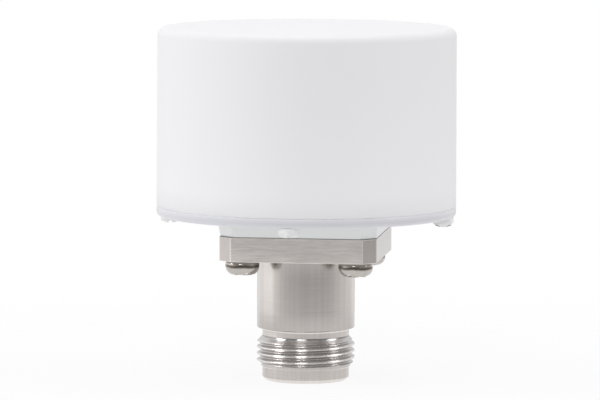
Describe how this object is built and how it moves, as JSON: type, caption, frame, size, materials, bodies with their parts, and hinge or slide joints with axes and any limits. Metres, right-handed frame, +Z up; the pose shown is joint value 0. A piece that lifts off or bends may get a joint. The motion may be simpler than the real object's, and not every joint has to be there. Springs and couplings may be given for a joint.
{
  "type": "gnss antenna",
  "caption": "Compact active satellite-positioning antenna: a white plastic radome on a round base, carried by a square-flanged type N jack.",
  "frame": {"origin": "centre of the jack's nose face, on the antenna's axis", "axes": "+Z up along the axis towards the radome's roof; X and Y square to the flange's sides"},
  "size_m": [0.0484, 0.0484, 0.0571],
  "materials": {
    "radome": "fine matt moulded",
    "base_plate": "satin moulded",
    "connector_body": "turned and brushed",
    "connector_dielectric": "satin",
    "dielectric_retainer": "turned",
    "pin_sleeve": "satin",
    "centre_contact": "gold plated",
    "flange_gasket": "matt",
    "flange_screws": "polished",
    "threaded_inserts": "knurled",
    "base_screws": "moulded nylon",
    "radome_gasket": "matt",
    "circuit_board": "solder mask",
    "board_screws": "polished",
    "lower_patch_pad": "matt",
    "lower_patch": "fired",
    "lower_electrode": "silver print",
    "lower_feed_pins": "tinned",
    "upper_patch_pad": "matt",
    "upper_patch": "fired",
    "upper_electrode": "silver print",
    "upper_feed_pins": "tinned",
    "foam_spacer": "open foam",
    "shield_can": "tin plated",
    "amplifier_chips": "moulded",
    "band_filters": "lidded",
    "hybrid_couplers": "fired",
    "voltage_regulator": "moulded",
    "chip_capacitors": "fired",
    "chip_inductors": "fired"
  },
  "bodies": {
    "root": {"radome": "radome", "base_plate": "base_plate", "connector_body": "connector_body", "connector_dielectric": "connector_dielectric", "dielectric_retainer": "dielectric_retainer", "pin_sleeve": "pin_sleeve", "centre_contact": "centre_contact", "flange_gasket": "flange_gasket", "flange_screws": "flange_screws", "threaded_inserts": "threaded_inserts", "base_screws": "base_screws", "radome_gasket": "radome_gasket", "circuit_board": "circuit_board", "board_screws": "board_screws", "lower_patch_pad": "lower_patch_pad", "lower_patch": "lower_patch", "lower_electrode": "lower_electrode", "lower_feed_pins": "lower_feed_pins", "upper_patch_pad": "upper_patch_pad", "upper_patch": "upper_patch", "upper_electrode": "upper_electrode", "upper_feed_pins": "upper_feed_pins", "foam_spacer": "foam_spacer", "shield_can": "shield_can", "amplifier_chips": "amplifier_chips", "band_filters": "band_filters", "hybrid_couplers": "hybrid_couplers", "voltage_regulator": "voltage_regulator", "chip_capacitors": "chip_capacitors", "chip_inductors": "chip_inductors"}
  },
  "joints": []
}
